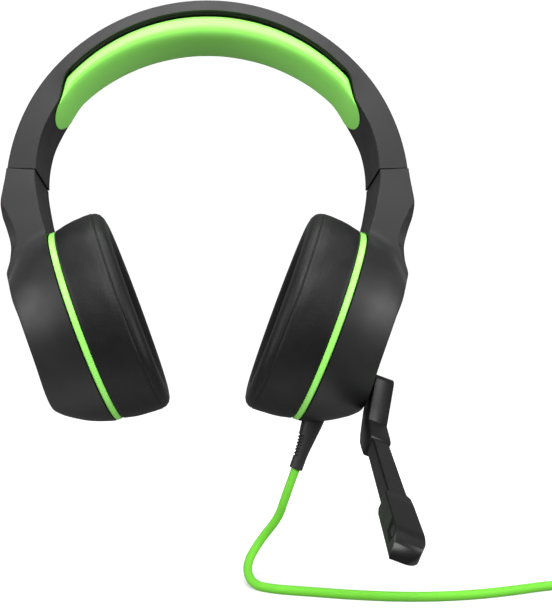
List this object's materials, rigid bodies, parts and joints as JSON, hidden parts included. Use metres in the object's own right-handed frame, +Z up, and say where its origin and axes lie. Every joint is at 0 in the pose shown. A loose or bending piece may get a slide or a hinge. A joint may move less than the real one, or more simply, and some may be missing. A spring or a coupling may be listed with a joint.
{
  "type": "gaming headset",
  "caption": "Over-ear gaming headset with a padded sprung headband, sliding arms, oval ear cups with cushions, a swinging boom microphone, a volume wheel and a cable with a round plug.",
  "frame": {"origin": "crown of the headband pad's underside, where it rests on a head or a hook", "axes": "+Z up towards the crown, +X towards the microphone side, -Y the way the wearer faces"},
  "size_m": [0.3366, 0.2521, 0.2677],
  "materials": {
    "shell_grey": "satin moulded, fine spark texture",
    "inner_black": "matt moulded",
    "boom_black": "satin moulded",
    "accent_green": "semi-gloss moulded",
    "pad_green": "smooth skinned foam, soft satin",
    "leatherette": "fine grained synthetic leather over foam",
    "scrim_fabric": "open knit",
    "spring_steel": "brushed strip",
    "screw_steel": "zinc plated",
    "magnet_steel": "plated",
    "diaphragm_film": "thin film",
    "wire_jacket": "flexible jacket",
    "capsule_metal": "plain",
    "board_green": "solder resist",
    "wheel_rubber": "matt, fine knurl",
    "relief_rubber": "matt moulded",
    "cable_green": "smooth satin jacket",
    "tie_black": "soft strap",
    "plug_metal": "gold plated"
  },
  "bodies": {
    "headband": {"crossover_wire": "wire_jacket", "detent_spring_left": "spring_steel", "detent_spring_right": "spring_steel", "headband_cover_left": "inner_black", "headband_cover_right": "inner_black", "headband_pad": "pad_green", "headband_screws": "screw_steel", "headband_shell": "shell_grey", "pad_carrier": "inner_black", "slider_guide_left": "inner_black", "slider_guide_right": "inner_black", "spring_band": "spring_steel"},
    "left_side": {"arm_cover_left": "inner_black", "arm_screws_left": "screw_steel", "baffle_left": "inner_black", "baffle_screws_left": "screw_steel", "cup_shell_left": "shell_grey", "cushion_clip_plate_left": "inner_black", "driver_diaphragm_left": "diaphragm_film", "driver_frame_left": "inner_black", "driver_magnet_left": "magnet_steel", "ear_cushion_left": "leatherette", "ear_scrim_left": "scrim_fabric", "slider_strap_left": "spring_steel", "trim_ring_left": "accent_green"},
    "right_side": {"arm_cover_right": "inner_black", "arm_screws_right": "screw_steel", "baffle_right": "inner_black", "baffle_screws_right": "screw_steel", "cup_shell_right": "shell_grey", "cushion_clip_plate_right": "inner_black", "driver_diaphragm_right": "diaphragm_film", "driver_frame_right": "inner_black", "driver_magnet_right": "magnet_steel", "ear_cushion_right": "leatherette", "ear_scrim_right": "scrim_fabric", "slider_strap_right": "spring_steel", "trim_ring_right": "accent_green", "mic_hub": "boom_black", "mic_pivot_pin": "screw_steel", "control_board": "board_green", "volume_pot": "magnet_steel", "strain_relief": "relief_rubber", "cable_core": "cable_green", "cable_lead": "cable_green", "cable_coil": "cable_green", "cable_tie": "tie_black", "cable_tail": "cable_green", "plug_body": "boom_black", "plug_contacts": "plug_metal", "plug_insulators": "tie_black"},
    "microphone": {"mic_bracket": "boom_black", "mic_boom": "boom_black", "mic_tip": "boom_black", "mic_capsule": "capsule_metal", "mic_port_mesh": "scrim_fabric", "mic_pivot_cap": "boom_black"},
    "volume_wheel": {"volume_wheel": "wheel_rubber"}
  },
  "joints": [
    {"name": "slider_right", "type": "slide", "parent": "headband", "child": "right_side", "axis": [0.1392, 0, -0.9903], "range_m": [0, 0.022]},
    {"name": "slider_left", "type": "slide", "parent": "headband", "child": "left_side", "axis": [-0.1392, 0, -0.9903], "range_m": [0, 0.022]},
    {"name": "mic_swing", "type": "hinge", "parent": "right_side", "child": "microphone", "pos_m": [0.07848, -0.0047, -0.16266], "axis": [-0.9377, 0, 0.3474], "range_deg": [-10, 110]},
    {"name": "volume_turn", "type": "hinge", "parent": "right_side", "child": "volume_wheel", "pos_m": [0.06189, 0.0275, -0.14702], "axis": [0.9377, 0, -0.3474], "range_deg": [-140, 140]}
  ]
}
